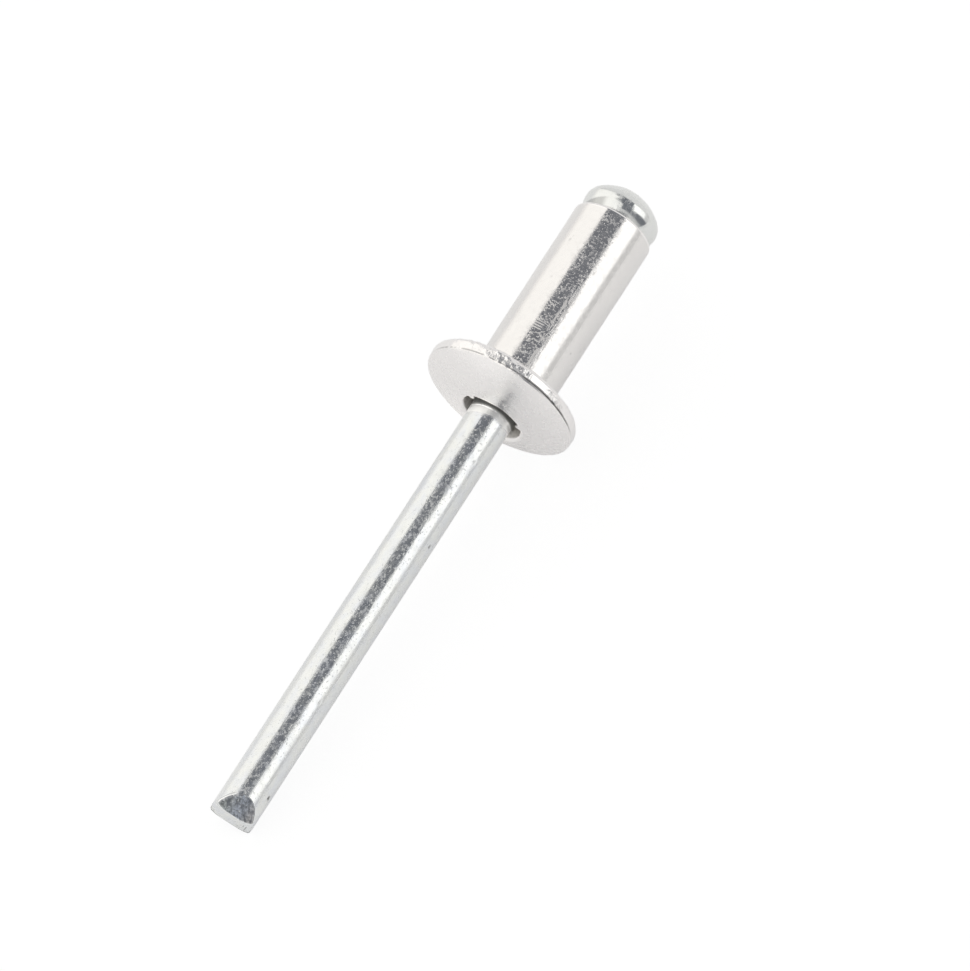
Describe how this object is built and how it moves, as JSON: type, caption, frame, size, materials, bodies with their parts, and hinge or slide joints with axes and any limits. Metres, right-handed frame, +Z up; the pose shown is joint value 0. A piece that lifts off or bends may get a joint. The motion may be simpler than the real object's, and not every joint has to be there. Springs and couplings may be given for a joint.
{
  "type": "pop rivet",
  "caption": "Open-end blind rivet with a domed head: an aluminium body on a headed steel mandrel, not yet set.",
  "frame": {"origin": "centre of the flange's underside, on the rivet's axis", "axes": "+X along the rivet from the tip of the stem towards the tail, +Z up from the surface it lies on; the rivet's axis rises about 6.4 degrees towards +X"},
  "size_m": [0.045, 0.0094, 0.0093],
  "materials": {
    "aluminium_body": "bright satin, as formed",
    "zinc_steel": "bright zinc plating"
  },
  "bodies": {
    "root": {"rivet_body": "aluminium_body", "mandrel": "zinc_steel"}
  },
  "joints": []
}
